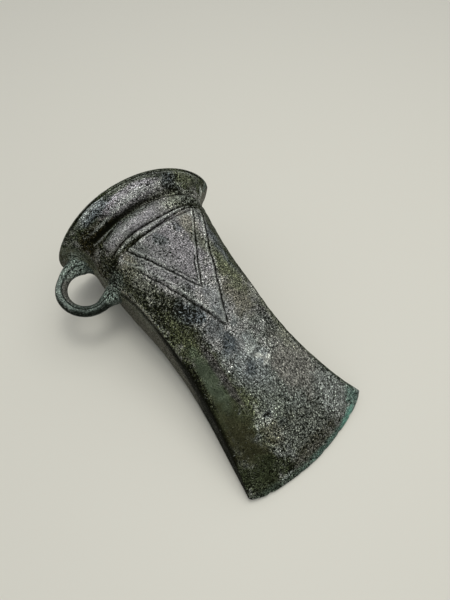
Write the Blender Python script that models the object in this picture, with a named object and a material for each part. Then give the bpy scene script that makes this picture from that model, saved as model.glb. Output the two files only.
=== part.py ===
"""Socketed bronze axe head with a side loop, one casting, lying on its back face.

The axe is shaped in its own frame: X across the blade (the loop is at -X), Y along the axe
from the cutting edge to the mouth, Z out of the decorated face.  lay_down() then tips it on
to its collar and its blade, as it lies when nothing holds it: +Z up, the ground at Z = 0.
"""
import math

import bpy
import bmesh
from mathutils import Matrix, Vector

MM = 0.001

# Outline, seen from the front (sizes in millimetres, s is the distance from the edge)
LENGTH = 121.1            # cutting edge to the sides of the mouth
WAIST = 21.0              # half width where the body is narrowest
WAIST_AT = 58.0
BLADE_SPREAD = 12.4       # how far each side of the blade spreads beyond the waist
BLADE_BOW = 1.8
NECK = 106.0
NECK_SPREAD = 4.2         # how far each side of the neck spreads beyond the waist
NECK_BOW = 2.6
SIDE_FLARE = (108.0, 1.7)       # where the neck's sides begin to flare, and how hollow they are
MOUTH_WIDE = 36.5         # half width of the mouth
EDGE_SAG = 5.0            # depth of the cutting edge's curve
EDGE_CORNER = 1.2         # how far its worn corners are rounded back
EDGE_CORNER_BOW = 10.0    # a high power keeps the rounding close to the corners
EDGE_LEAN = 0.022         # the cutting edge is a little out of square
EDGE_SHIFT = 1.1          # and off centre, away from the loop
WAIST_SHIFT = 0.9         # the body bows the other way between these places
WAIST_BOW = (5.0, 68.0)

# Thickness, seen from the side
EDGE_HALF = 0.55          # half thickness of the worn cutting edge
FACE_SLOPE = 0.2235       # rise of each broad face towards the neck
BEVEL_RISE = 0.7          # the extra rise of the ground bevel behind the edge
BEVEL_RUN = 6.0
SIDE_HALF = 12.2          # half thickness of the narrow sides, 100 mm from the edge
SIDE_BOW = 0.6            # below 1 they thicken fastest near the edge
SIDE_LIMIT = 0.86         # and never beyond this share of the full half thickness
SQUARENESS = (2.6, 4.0, 40.0, 90.0)     # of the section: least, most, and where it changes
SIDE_FADE = (84.0, 106.0, 0.6)  # start, end and share by which the loop's side thins out
FACE_FLARE = (109.5, 115.5)     # where the broad faces flare out into the collar
MOUTH_DEEP = 29.1         # half depth of the mouth
GROOVE = (110.2, 113.4, 1.5)    # start, end and depth of the groove under the collar
ROLL = (113.4, 119.9, 0.9)      # start, end and height of the collar's rounded roll
OVAL_FACE = 70.0          # degrees of the oval mouth, either way, that belong to a broad face

# The rim rises over the broad faces, and the mouth is a little out of square
RIM_RISE = 5.4
RIM_RISE_FROM = 98.0
MOUTH_SLANT = 0.077
MOUTH_SHIFT = 2.1
LIP_WALL = 3.4
LIP_ROUND = 0.6

# Ribs across the neck, as (start, end, height), and the nested chevrons below them
RIB_FADE_FROM = 0.75      # share of the half width at which the ribs begin to die away
SWELL_BOW = 0.8           # below 1 ribs, groove and roll are fuller than a sine wave
THIN_RIB = (103.9, 105.6, 0.7)
MAIN_RIB = (105.6, 110.2, 1.7)
CHEVRON_TOP = 103.9
OUTER_TIP = 61.0
OUTER_WIDE = 21.3         # half width at the top, and at the blunt tip
OUTER_BLUNT = 2.3
OUTER_BOW = 1.15          # above 1 the legs bow inwards
OUTER_LIFT = 0.9
INNER_TIP = 78.0
INNER_WIDE = 16.0
INNER_BLUNT = 1.0
INNER_LIFT = 0.3          # the triangle between the inner legs stands this much higher
RIDGE_HALF = 0.6          # half width and height of the thin ridge along the inner legs
RIDGE_LIFT = 0.6
STEP_HALF = 0.45          # half width of the step along the outer legs
BACK_SHARE = 0.55         # the plainer back repeats ribs and outer chevron at this height

# Socket, tapering to a small flat floor
FLOOR = 44.0
FLOOR_WIDE, FLOOR_DEEP = 13.0, 6.4
NECK_BORE_WIDE, NECK_BORE_DEEP = 21.8, 21.3
BORE_POWER = 2.5          # 2 is an oval, more is squarer
BORE_BOW = 0.8            # below 1 the bore widens fastest near the floor
BORE_RINGS = 8

# Side loop, a bar bent to most of a circle in the plane of the casting seam
LOOP_CENTRE = (-32.4, 107.5)
LOOP_RADIUS = 9.4
LOOP_THICK = 2.25         # half thickness of the bar
LOOP_SWELL = 1.5          # extra half thickness where it joins the body
LOOP_WEB = 1.0            # and where it runs along the collar
LOOP_WEB_STEPS = (3, 5, 10)     # steps from the collar end: full, begins to fade, gone
LOOP_ARC = (30.0, 290.0)  # degrees round the loop from the collar to the lower root
LOOP_ROOT = (-22.5, 99.8)       # where the bar ends inside the body's wall
LOOP_SWELL_SPAN = (0.75, 0.95)  # share of the bar's length over which it swells
LOOP_TAIL = 3             # steps at the collar end that lie in the wall and taper
LOOP_TIP = 0.45           # share of its thickness at that end
LOOP_SIDES = 12
LOOP_STEPS = 22

REST_FLAT = 0.25          # depth of the flat spots that it rests on
WELD_GAP = 0.01           # points closer than this become one
CREASE_ANGLE = 32.0       # degrees from which an edge is drawn sharp

SIDE_STEPS = 4            # faces across a narrow side
BRONZE = (0.115, 0.105, 0.085, 1.0)


def smooth(low, high, value):
    """A smooth rise from 0 to 1 as value goes from low to high."""
    t = min(1.0, max(0.0, (value - low) / (high - low)))
    return t * t * (3.0 - 2.0 * t)


def stretch(start, end, steps):
    """Evenly spaced values from start up to, but without, end."""
    return [start + (end - start) * k / steps for k in range(steps)]


def power_wave(value, power):
    return math.copysign(abs(value) ** (2.0 / power), value)


# ---- main sizes at the distance s from the cutting edge ----

def near_edge(s):
    return max(0.0, 1.0 - s / WAIST_AT)


def half_width(s):
    side = s + EDGE_SAG * near_edge(s) ** 2
    widen = min(1.0, max(0.0, (side - WAIST_AT) / (NECK - WAIST_AT)))
    body = WAIST + BLADE_SPREAD * near_edge(side) ** BLADE_BOW + NECK_SPREAD * widen ** NECK_BOW
    start, bow = SIDE_FLARE
    flare = max(0.0, (s - start) / (LENGTH - start)) ** bow
    return body + (MOUTH_WIDE - WAIST - NECK_SPREAD) * flare


def half_depth(s):
    bevel = BEVEL_RISE * (1.0 - math.exp(-s / BEVEL_RUN))
    neck = EDGE_HALF + FACE_SLOPE * NECK + BEVEL_RISE
    body = EDGE_HALF + FACE_SLOPE * min(s, NECK) + bevel
    return body + (MOUTH_DEEP - neck) * smooth(*FACE_FLARE, s)


def side_half(s, x):
    """Half thickness of the narrow side towards x; the loop's side is the thinner one."""
    side = min(SIDE_LIMIT * half_depth(s), EDGE_HALF + SIDE_HALF * (s / 100.0) ** SIDE_BOW)
    start, end, share = SIDE_FADE
    return side * (1.0 - share * smooth(start, end, s)) if x < 0.0 else side


def centre_line(s):
    """How far the middle of the axe wanders sideways along its length."""
    start, end = WAIST_BOW
    waist = WAIST_SHIFT * math.sin(math.pi * min(1.0, max(0.0, (s - start) / (end - start))))
    return EDGE_SHIFT * near_edge(s) ** 6 - waist + MOUTH_SHIFT * roundness(s)


def squareness(s):
    least, most, start, end = SQUARENESS
    return least + (most - least) * smooth(start, end, s)


def roundness(s):
    """0 where the section is a flat-faced hexagon, 1 where it is the oval of the mouth."""
    return smooth(FACE_FLARE[0] - 2.0, FACE_FLARE[1], s)


def edge_bend(x, u, s):
    """The curve and lean of the cutting edge, which fade out towards the waist."""
    curve = EDGE_SAG * u ** 2 + EDGE_CORNER * abs(u) ** EDGE_CORNER_BOW * near_edge(2.0 * s)
    return curve * near_edge(s) ** 2 + EDGE_LEAN * x * near_edge(s)


def mouth_bend(x, u, s):
    """The rise of the rim over the broad faces, and the mouth's slant."""
    return RIM_RISE * smooth(RIM_RISE_FROM, LENGTH, s) * (1.0 - u * u) - MOUTH_SLANT * x * roundness(s)


# ---- ribs and chevrons ----

def outer_leg(s):
    t = min(1.0, max(0.0, (s - OUTER_TIP) / (CHEVRON_TOP - OUTER_TIP)))
    return OUTER_BLUNT + (OUTER_WIDE - OUTER_BLUNT) * t ** OUTER_BOW


def inner_leg(s):
    t = min(1.0, max(0.0, (s - INNER_TIP) / (CHEVRON_TOP - INNER_TIP)))
    return INNER_BLUNT + (INNER_WIDE - INNER_BLUNT) * t


def within(s, start, end, soft=1.0):
    return smooth(start - soft, start, s) * (1.0 - smooth(end, end + soft, s))


def swelling(s, form):
    start, end, height = form
    t = (s - start) / (end - start)
    return height * math.sin(math.pi * t) ** SWELL_BOW if 0.0 < t < 1.0 else 0.0


def cross_ribs(s, u):
    """The ribs and groove across the neck, dying away towards the narrow sides."""
    fade = 1.0 - smooth(RIB_FADE_FROM, 1.0, abs(u))
    return (swelling(s, MAIN_RIB) + swelling(s, THIN_RIB) - swelling(s, GROOVE)) * fade


def spaced(start, end, count):
    """count values strictly between start and end."""
    return [start + (end - start) * (k + 1) / (count + 1) for k in range(count)]


def half_columns(s, plain):
    """Places from the middle of a broad face to its edge, as (x, lift), along the chevrons."""
    band = OUTER_LIFT * within(s, OUTER_TIP, CHEVRON_TOP)
    panel = ridge = band
    if not plain:
        panel += INNER_LIFT * within(s, INNER_TIP, CHEVRON_TOP)
        ridge = panel + RIDGE_LIFT * within(s, INNER_TIP, CHEVRON_TOP)
    outer, inner, wide = outer_leg(s), inner_leg(s), half_width(s)
    columns = [(0.0, panel)]
    columns += [(x, panel) for x in spaced(0.0, inner - RIDGE_HALF, 2)]
    columns += [(inner - RIDGE_HALF, panel), (inner, ridge), (inner + RIDGE_HALF, band)]
    columns += [(x, band) for x in spaced(inner + RIDGE_HALF, outer - STEP_HALF, 2)]
    columns += [(outer - STEP_HALF, band), (outer + STEP_HALF, 0.0)]
    columns += [(x, 0.0) for x in spaced(outer + STEP_HALF, wide, 5)]
    return columns + [(wide, 0.0)]


# ---- rings ----

def face_points(s, plain=False):
    """One broad face of a ring, from -X to +X, with Z outwards."""
    wide, deep = half_width(s), half_depth(s)
    blend = roundness(s)
    share = BACK_SHARE if plain else 1.0
    roll = swelling(s, ROLL)
    right = half_columns(s, plain)
    points = []
    for x, lift in [(-x, lift) for x, lift in right[:0:-1]] + right:
        u = x / wide
        angle = math.radians(u * OVAL_FACE)
        side = side_half(s, x)
        hexagon = Vector((x, side + (deep - side) * (1.0 - abs(u) ** squareness(s))))
        oval = Vector((wide * math.sin(angle), deep * math.cos(angle)))
        spot = hexagon.lerp(oval, blend)
        raised = spot.y + share * (lift * (1.0 - blend) + cross_ribs(s, u)) + roll * math.cos(angle) ** 2
        y = s + edge_bend(spot.x, u, s) + mouth_bend(spot.x, spot.x / wide, s)
        points.append(Vector((spot.x + centre_line(s), y, raised)))
    return points


def side_points(s, sign):
    """A narrow side of a ring, from the front face to the back, without its two ends."""
    wide, deep, side = half_width(s), half_depth(s), side_half(s, sign)
    points = []
    for k in range(1, SIDE_STEPS):
        t = k / SIDE_STEPS
        angle = math.radians(OVAL_FACE + (180.0 - 2.0 * OVAL_FACE) * t)
        hexagon = Vector((wide, side * (1.0 - 2.0 * t)))
        oval = Vector((wide * math.sin(angle), deep * math.cos(angle)))
        spot = hexagon.lerp(oval, roundness(s))
        x = sign * spot.x
        y = s + edge_bend(x, 1.0, s) + mouth_bend(x, x / wide, s)
        points.append(Vector((x + centre_line(s), y, spot.y)))
    return points


def body_ring(s):
    """Front face from -X to +X, +X side, back face from +X to -X, -X side."""
    back = [Vector((p.x, p.y, -p.z)) for p in face_points(s, plain=True)]
    return face_points(s) + side_points(s, 1) + back[::-1] + side_points(s, -1)[::-1]


def ring_angles():
    """Where the points of a ring lie round the oval, in degrees from the front's middle."""
    wide = half_width(LENGTH)
    right = [x / wide * OVAL_FACE for x, _ in half_columns(LENGTH, False)]
    front = [-a for a in right[:0:-1]] + right
    side = [OVAL_FACE + (180.0 - 2.0 * OVAL_FACE) * k / SIDE_STEPS for k in range(1, SIDE_STEPS)]
    return front + side + [180.0 + a for a in front + side]


def oval_ring(s, wide, deep, power=2.0):
    """A smooth ring of the lip or the socket."""
    points = []
    for angle in map(math.radians, ring_angles()):
        x = wide * power_wave(math.sin(angle), power)
        z = deep * power_wave(math.cos(angle), power)
        y = s + mouth_bend(x, x / wide, s)
        points.append(Vector((x + centre_line(s), y, z)))
    return points


def body_stations():
    """Where the rings lie: close together at ribs and collar, wide apart on the blade."""
    rows = [0.0, 1.5, 4.0] + stretch(8.0, OUTER_TIP - 1.0, 8)
    rows += [OUTER_TIP - 1.0, OUTER_TIP] + stretch(OUTER_TIP + 3.5, INNER_TIP - 1.0, 3)
    rows += [INNER_TIP - 1.0, INNER_TIP] + stretch(INNER_TIP + 3.0, CHEVRON_TOP, 7)
    rows += stretch(THIN_RIB[0], THIN_RIB[1], 4) + stretch(MAIN_RIB[0], MAIN_RIB[1], 6)
    rows += stretch(MAIN_RIB[1], FACE_FLARE[1], 6)
    rows += stretch(FACE_FLARE[1], LENGTH - LIP_ROUND, 4)
    return rows + [LENGTH - LIP_ROUND]


def lip_rings():
    wide, deep = half_width(LENGTH), half_depth(LENGTH)
    insets = ((LENGTH, LIP_ROUND), (LENGTH, LIP_WALL - LIP_ROUND), (LENGTH - LIP_ROUND, LIP_WALL))
    return [oval_ring(s, wide - inset, deep - inset) for s, inset in insets]


def socket_rings():
    """From just inside the lip down to the floor."""
    mouth_wide, mouth_deep = half_width(LENGTH) - LIP_WALL, half_depth(LENGTH) - LIP_WALL
    rings = []
    for s in stretch(LENGTH - 3.0, NECK, 4):
        t = ((s - NECK) / (LENGTH - NECK)) ** 2
        wide = NECK_BORE_WIDE + (mouth_wide - NECK_BORE_WIDE) * t
        deep = NECK_BORE_DEEP + (mouth_deep - NECK_BORE_DEEP) * t
        rings.append(oval_ring(s, wide, deep, BORE_POWER + (2.0 - BORE_POWER) * t))
    for s in stretch(NECK, FLOOR, BORE_RINGS) + [FLOOR]:
        t = (s - FLOOR) / (NECK - FLOOR)
        wide = FLOOR_WIDE + (NECK_BORE_WIDE - FLOOR_WIDE) * t ** BORE_BOW
        deep = FLOOR_DEEP + (NECK_BORE_DEEP - FLOOR_DEEP) * t
        rings.append(oval_ring(s, wide, deep, BORE_POWER))
    return rings


# ---- meshes ----

def add_ring(bm, points):
    return [bm.verts.new(p * MM) for p in points]


def bridge(bm, first, second):
    count = len(first)
    for k in range(count):
        n = (k + 1) % count
        bm.faces.new((first[k], first[n], second[n], second[k]))


def close_edge(bm, ring):
    """Close the cutting edge with a strip from its front line to its back line."""
    across = len(half_columns(0.0, False)) * 2 - 1
    front = ring[:across]
    back = ring[across + SIDE_STEPS - 1:2 * across + SIDE_STEPS - 1][::-1]
    for k in range(1, across - 2):
        bm.faces.new((front[k], front[k + 1], back[k + 1], back[k]))
    right = [front[-1]] + ring[across:across + SIDE_STEPS - 1] + [back[-1], back[-2]]
    left = [back[0]] + ring[2 * across + SIDE_STEPS - 1:] + [front[0], front[1]]
    for hub, chain in ((front[-2], right), (back[1], left)):
        for first, second in zip(chain, chain[1:]):
            bm.faces.new((hub, first, second))


def close_floor(bm, ring):
    middle = bm.verts.new((centre_line(FLOOR) * MM, FLOOR * MM, 0.0))
    for k, vert in enumerate(ring):
        bm.faces.new((vert, ring[(k + 1) % len(ring)], middle))


def body_mesh():
    bm = bmesh.new()
    rings = [add_ring(bm, body_ring(s)) for s in body_stations()]
    rings += [add_ring(bm, points) for points in lip_rings() + socket_rings()]
    for first, second in zip(rings, rings[1:]):
        bridge(bm, first, second)
    close_edge(bm, rings[0])
    close_floor(bm, rings[-1])
    return bm


def loop_web(k):
    """The web that fills the corner between the bar and the collar, at step k of the bar."""
    full, fade, gone = LOOP_WEB_STEPS
    return LOOP_WEB * smooth(0, full, k) * (1.0 - smooth(fade, gone, k))


def loop_path():
    """The middle of the loop's bar, from inside the collar's wall to inside the body's side."""
    centre = Vector((*LOOP_CENTRE, 0.0))
    start, end = map(math.radians, LOOP_ARC)
    points = []
    for k in range(LOOP_STEPS + 1):
        angle = start + (end - start) * k / LOOP_STEPS
        spoke = Vector((math.cos(angle), math.sin(angle), 0.0))
        points.append(centre + (LOOP_RADIUS + loop_web(k)) * spoke)
    root = Vector((*LOOP_ROOT, 0.0))
    return points + [points[-1].lerp(root, share) for share in (0.25, 0.5, 0.75, 1.0)]


def loop_half_thickness(k, last):
    taper = LOOP_TIP + (1.0 - LOOP_TIP) * smooth(0, LOOP_TAIL, k)
    return (LOOP_THICK + loop_web(k) + LOOP_SWELL * smooth(*LOOP_SWELL_SPAN, k / last)) * taper


def loop_mesh():
    bm = bmesh.new()
    path = loop_path()
    last = len(path) - 1
    rings = []
    for k, point in enumerate(path):
        along = (path[min(k + 1, last)] - path[max(k - 1, 0)]).normalized()
        out = Vector((along.y, -along.x, 0.0))
        ring = []
        for j in range(LOOP_SIDES):
            angle = 2.0 * math.pi * j / LOOP_SIDES
            spoke = math.cos(angle) * out + math.sin(angle) * Vector((0.0, 0.0, 1.0))
            ring.append(point + loop_half_thickness(k, last) * spoke)
        rings.append(add_ring(bm, ring))
    for first, second in zip(rings, rings[1:]):
        bridge(bm, first, second)
    bm.faces.new(rings[0])
    bm.faces.new(rings[-1])
    return bm


def rest_pose():
    """The tilt at which the back lies on the collar's roll and on the blade, and the ground's level."""
    back = [p for s in body_stations() for p in face_points(s, plain=True)]
    roll = max(back, key=lambda p: p.z)
    angle = min(math.atan2(roll.z - p.z, roll.y - p.y) for p in back if p.y < WAIST_AT)
    lowest = min(p.y * math.sin(angle) - p.z * math.cos(angle) for p in back)
    return angle, lowest + REST_FLAT


def lay_down(bm, angle, level, flatten):
    """Tip the mesh on to its back; flatten the spots that it then stands on."""
    bmesh.ops.rotate(bm, cent=(0, 0, 0), matrix=Matrix.Rotation(angle, 3, 'X'), verts=bm.verts)
    ground = level * MM
    if flatten:
        for vert in bm.verts:
            vert.co.z = max(vert.co.z, ground)
    bmesh.ops.translate(bm, vec=(0, 0, -ground), verts=bm.verts)


def finish_mesh(bm, name, material):
    bmesh.ops.recalc_face_normals(bm, faces=bm.faces)
    bmesh.ops.triangulate(bm, faces=bm.faces, quad_method='SHORT_EDGE')
    mesh = bpy.data.meshes.new(name)
    bm.to_mesh(mesh)
    bm.free()
    mesh.materials.append(material)
    mesh.shade_smooth()
    mesh.set_sharp_from_angle(angle=math.radians(CREASE_ANGLE))
    part = bpy.data.objects.new(name, mesh)
    bpy.context.scene.collection.objects.link(part)
    return part


def bronze():
    material = bpy.data.materials.new("patinated_bronze")
    material.use_nodes = True
    shader = material.node_tree.nodes["Principled BSDF"]
    shader.inputs["Base Color"].default_value = BRONZE
    shader.inputs["Metallic"].default_value = 0.35
    shader.inputs["Roughness"].default_value = 0.55
    return material


def centre_on_origin(parts):
    """Slide the parts level so that their common box stands over the origin."""
    corners = [vert.co for part in parts for vert in part.data.vertices]
    middle = [(min(c[i] for c in corners) + max(c[i] for c in corners)) / 2.0 for i in (0, 1)]
    for part in parts:
        part.location = (-middle[0], -middle[1], 0.0)


def main():
    for old in list(bpy.data.objects):
        bpy.data.objects.remove(old, do_unlink=True)
    material = bronze()
    angle, level = rest_pose()
    body, loop = body_mesh(), loop_mesh()
    lay_down(body, angle, level, flatten=True)
    lay_down(loop, angle, level, flatten=False)
    axe = finish_mesh(body, "axe_head", material)
    bar = finish_mesh(loop, "loop_bar", material)
    bar.hide_render = True
    bar.display_type = 'WIRE'
    centre_on_origin([axe, bar])
    join = axe.modifiers.new("loop", 'BOOLEAN')
    join.operation = 'UNION'
    join.solver = 'EXACT'
    join.object = bar
    weld = axe.modifiers.new("weld", 'WELD')
    weld.merge_threshold = WELD_GAP * MM


main()
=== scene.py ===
"""The dressed axe head: one weathered bronze casting on a pale floor, fitted to the CAD frame.

The shape functions repeat those of the solid, at a finer step, in its own frame: X across the
blade (the loop is at -X), Y from the cutting edge to the mouth, Z out of the decorated face.
Sizes are in millimetres; s is the distance from the cutting edge, u the share of the half width.
"""

import itertools
import math

import bpy
import bmesh
import numpy as np
from mathutils import Matrix, Vector
from mathutils.bvhtree import BVHTree
from mathutils.kdtree import KDTree


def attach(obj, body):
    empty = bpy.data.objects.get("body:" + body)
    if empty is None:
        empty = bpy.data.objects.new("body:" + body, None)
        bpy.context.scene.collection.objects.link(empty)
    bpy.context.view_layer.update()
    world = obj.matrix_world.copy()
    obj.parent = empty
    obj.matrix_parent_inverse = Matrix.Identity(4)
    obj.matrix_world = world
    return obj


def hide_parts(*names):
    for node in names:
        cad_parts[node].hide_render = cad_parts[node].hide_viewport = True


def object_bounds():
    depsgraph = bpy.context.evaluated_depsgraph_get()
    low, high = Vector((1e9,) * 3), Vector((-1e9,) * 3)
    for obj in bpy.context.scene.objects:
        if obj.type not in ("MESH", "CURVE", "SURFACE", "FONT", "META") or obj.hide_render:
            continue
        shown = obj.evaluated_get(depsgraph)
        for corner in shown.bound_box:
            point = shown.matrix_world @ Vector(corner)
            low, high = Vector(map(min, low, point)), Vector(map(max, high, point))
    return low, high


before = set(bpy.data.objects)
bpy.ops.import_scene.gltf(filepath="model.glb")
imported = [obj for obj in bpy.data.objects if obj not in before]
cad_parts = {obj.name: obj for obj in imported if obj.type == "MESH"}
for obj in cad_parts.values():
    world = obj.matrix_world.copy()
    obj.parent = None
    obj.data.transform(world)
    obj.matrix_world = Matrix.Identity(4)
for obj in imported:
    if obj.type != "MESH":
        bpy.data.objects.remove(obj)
CAD_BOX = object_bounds()

MM = 0.001

# ---- the solid's driving sizes; the collar, rim and decoration are drawn finer here ----
LENGTH = 121.1
WAIST, WAIST_AT = 21.0, 58.0
BLADE_SPREAD, BLADE_BOW = 12.4, 1.8
NECK, NECK_SPREAD, NECK_BOW = 106.0, 4.2, 2.6
SIDE_FLARE = (108.0, 1.7)
MOUTH_WIDE, MOUTH_DEEP = 36.5, 27.8
EDGE_SAG, EDGE_CORNER, EDGE_CORNER_BOW = 5.0, 1.2, 10.0
EDGE_LEAN, EDGE_SHIFT, EDGE_SHIFT_BOW = 0.022, 1.1, 6
CORNER_ROUND, CORNER_REACH = 0.8, 1.8  # the corners of the cutting edge are worn round
WAIST_SHIFT, WAIST_BOW = 0.9, (5.0, 68.0)
EDGE_HALF, FACE_SLOPE = 0.55, 0.2235
BEVEL_RISE, BEVEL_RUN = 0.7, 6.0
SIDE_HALF, SIDE_HALF_AT, SIDE_BOW, SIDE_LIMIT = 12.2, 100.0, 0.6, 0.86
SQUARENESS = (2.6, 4.0, 40.0, 90.0)
SIDE_FADE = (84.0, 106.0, 0.6)
FACE_FLARE = (110.3, 114.8)
ROUND_SPAN = (107.5, 115.5)
OVAL_FACE = 70.0
RIM_RISE, RIM_RISE_FROM = 5.6, 98.0
MOUTH_SLANT, MOUTH_SHIFT = 0.077, 2.1
LIP_WALL, LIP_ROUND = 3.4, 0.6
FLOOR, FLOOR_WIDE, FLOOR_DEEP = 44.0, 13.0, 6.4
NECK_BORE_WIDE, NECK_BORE_DEEP = 21.8, 21.3
BORE_POWER, BORE_BOW = 2.5, 0.8
LOOP_CENTRE, LOOP_RADIUS, LOOP_THICK = (-32.4, 107.5), 9.4, 2.25
LOOP_SWELL, LOOP_SWELL_SPAN = 1.5, (0.75, 0.95)
LOOP_WEB, LOOP_WEB_SPAN = 1.0, (0.0, 0.12, 0.19, 0.38)
LOOP_TIP, LOOP_TIP_SPAN = 0.45, 0.11  # share of its thickness at the collar, length that grows
LOOP_ARC, LOOP_ROOT = (30.0, 290.0), (-22.5, 99.8)
LOOP_SEAM = (102.0, 8.0, 0.3)  # line along the loop, at a place round its bar
REST_TILT, REST_LEVEL = 13.4207, -0.948  # degrees that lay it down, and the ground's height

# ---- decoration: bumps and hollows are (place, half width, height or depth) ----
SWELL_BOW = 0.8  # below 1 ribs, groove and roll are fuller than a sine wave
WAVES = ((0.5, 0.7, 1.0), (0.3, 1.9, 2.0), (0.2, 4.3, 1.0))  # share, rate, turn
LINE_WANDER, LINE_BREAKS = 0.22, 0.45  # the lines waver a little, and their depth does
LINE_SEEDS = (1.0, 4.0)  # loop side, other
LEG_LEAN = 0.9  # a leg's width square to itself, per its width across the blade

PROUD = (6.0, -16.0)  # the thin rib grows proud towards the loop
THIN_LOW, THIN_SLOPE = 104.2, 0.07  # lower line of the thin rib, which leans a little
THIN_HIGH, THIN_LIFT = 105.75, (0.5, 0.9)  # upper line; height away from and near the loop
MAIN_TOP, MAIN_LIFT = 111.0, 1.7
RIB_LINE, RIB_LINE_HALF = 0.4, 0.3  # depth and half width of the lines beside the thin rib
RIB_LINE_HIGH = 0.6  # share of that depth in the upper line
RIB_LINE_START, RIB_LINE_PROUD = (-17.0, -13.0), (0.3, 0.5)  # lower line: start; drop, widening
RIB_BREAKS = (0.5, 3.0)  # rate, seed
RIB_FADE = ((0.68, 0.9), (0.8, 1.0))  # in half widths: loop side, other
GROOVE = (110.9, 113.7, 1.6, 1.6)  # start, end, depth and bow
GROOVE_SHALLOW = (0.6, -12.0, 4.0)  # share that it loses away from the loop, and where
GROOVE_FADE = (0.75, 1.0)  # in half widths
CLIMB_FROM, CLIMB = (-8.0, 5.0), (0.0085, 0.0125)  # groove and roll climb towards the sides
CLIMB_LIMIT = 3.2  # for the groove
ROLL = (113.2, 120.4, 2.3, 0.9)
ROLL_STEP, ROLL_LIMIT = (-11.0, -17.0, 3.0), 117.2  # it starts higher near the loop
LIP_LINE = (119.0, 0.003, 0.35, 0.35)  # line under the lip: place, rise, half width, depth
LIP_LINE_MIDDLE, LIP_LINE_LIMIT = 3.0, 120.2

CHEVRON_TOP, CHEVRON_END = 103.9, 1.2
OUTER = (61.0, 20.0, 0.3, 1.08, 1.12)  # tip, half width at the top and tip, bow of either leg
INNER = (76.9, 15.9, 0.0, 0.96, 1.15)
OUTER_START, INNER_START = (-0.9, 0.3), (-0.8, 0.4)  # where they come up, from the tip
OUTER_DIP = (88.5, 4.5, 0.7)  # the leg away from the loop wavers here
OUTER_LIFT, OUTER_STEP = 0.75, 0.5  # height of the panel, half width of the step round it
OUTER_EDGE = (-0.7, 0.5, 0.2)
OUTER_GROOVE, OUTER_GROOVE_AT = (0.2, 0.32), (0.75, 0.35)  # depth on the loop side and the other
OUTER_GROOVE_FADE = (97.0, 90.0)  # on the loop side
OUTER_GROOVE_TIP = (0.4, 1.0, 9.0)  # share of its depth at the tip, and where it grows
INNER_LIFT, INNER_STEP = 0.2, 0.4
INNER_RIDGE = (-0.65, 0.5, 0.15)
INNER_GROOVE, INNER_GROOVE_HALF, INNER_DEEPER = 0.6, 0.4, 1.3  # deeper by this on the loop side
SECOND_SHARE, SECOND_LINE, SECOND_FADE = 0.7, (-1.2, 0.33), (92.0, 86.0)  # inside the first
BREAK_RATE, BREAK_SEEDS = 1.3, (2.0, 5.0)  # outer and inner lines
STEM_AT, STEM_START, STEM_END = (0.2, 0.35, 0.2), (68.0, 71.0), (76.0, 75.0)  # below the inner tip
BACK_SHARE = 0.55  # height of the ribs and the panel on the plainer back

FLUTE = (-17.0, 4.2, 0.4)  # shallow hollow along the blade
FLUTE_SPAN = (4.0, 14.0, 50.0, 62.0)
MARGIN_FROM, MARGIN_DROP = 0.88, 0.7  # the face's edge by the loop is rubbed down
MARGIN_SPAN = (4.0, 20.0, 56.0, 72.0)
NICKS = ((-24.0, 0.9, 0.35), (-9.5, 0.6, 0.25), (3.0, 1.1, 0.2), (12.5, 0.7, 0.4), (21.0, 0.8, 0.3))
NICK_REACH = 1.2

# ---- zones of the surface ----
FRONT, RIGHT, BACK, LEFT, INSIDE, LOOP = range(6)

# ---- steps of the fine mesh ----
FRONT_STEPS, BACK_STEPS, SIDE_STEPS = 168, 56, 14
EDGE_ROWS = (0.0, 0.08, 0.25, 0.6)
EDGE_ROUND, EDGE_BLUNT = 0.6, 0.93  # reach of the rounded cutting edge, and how blunt it is
ROW_SPANS = ((1.0, 58.0, 116), (58.0, 100.0, 112), (100.0, 120.5, 72))
LIP_STEPS, FUNNEL_ROWS, BORE_ROWS = 5, 9, 22
LOOP_SIDES, LOOP_STEPS, LOOP_STEM_STEPS = 72, 110, 25

FILLET, FILLET_HIGH = 4.0, 12.0  # reach of the loop's fillets, half height of their space
SEAM_GAP, SEAM_REACH, SEAM_SOFT, SEAM_PASSES = 0.001, 1.8, 0.9, 14
LUMP_CELLS, CRATER_CELLS = 32, 24  # after which the noise repeats
CRATER_MIDDLES, CRATER_WIDTHS = (0.15, 0.85), (0.35, 1.0)


def ramp(low, high, value):
    """0 at low and 1 at high, straight between and level beyond."""
    return np.clip((value - low) / (high - low), 0.0, 1.0)


def smooth(low, high, value):
    t = ramp(low, high, value)
    return t * t * (3.0 - 2.0 * t)


def mix(first, second, share):
    return first + (second - first) * share


def bump(value, middle, half, height=1.0):
    return height * np.exp(-((value - middle) / half) ** 2)


def lumps(points, size, seed):
    """Smooth noise from -1 to 1, with bumps about size across."""
    table = np.random.default_rng(seed).uniform(-1.0, 1.0, (LUMP_CELLS,) * 3)
    cell = np.floor(points / size).astype(int)
    t = points / size - cell
    t = t * t * (3.0 - 2.0 * t)
    total = np.zeros(len(points))
    for corner in itertools.product((0, 1), repeat=3):
        weight = np.prod(np.where(corner, t, 1.0 - t), axis=1)
        i, j, k = ((cell + corner) % LUMP_CELLS).T
        total += weight * table[i, j, k]
    return total


def craters(points, size, radius, seed):
    """Round hollows, one to a cell of the given size: 1 at a hollow's middle, 0 outside."""
    rng = np.random.default_rng(seed)
    middles = rng.uniform(*CRATER_MIDDLES, (CRATER_CELLS,) * 3 + (3,))
    widths = rng.uniform(*CRATER_WIDTHS, (CRATER_CELLS,) * 3) * radius
    cell = np.floor(points / size).astype(int)
    deepest = np.zeros(len(points))
    for step in itertools.product((-1, 0, 1), repeat=3):
        near = cell + step
        i, j, k = (near % CRATER_CELLS).T
        distance = np.linalg.norm(points - (near + middles[i, j, k]) * size, axis=1)
        deepest = np.maximum(deepest, np.clip(1.0 - (distance / widths[i, j, k]) ** 2, 0.0, 1.0))
    return deepest


# ---- main sizes at the distance s from the cutting edge ----

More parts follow.
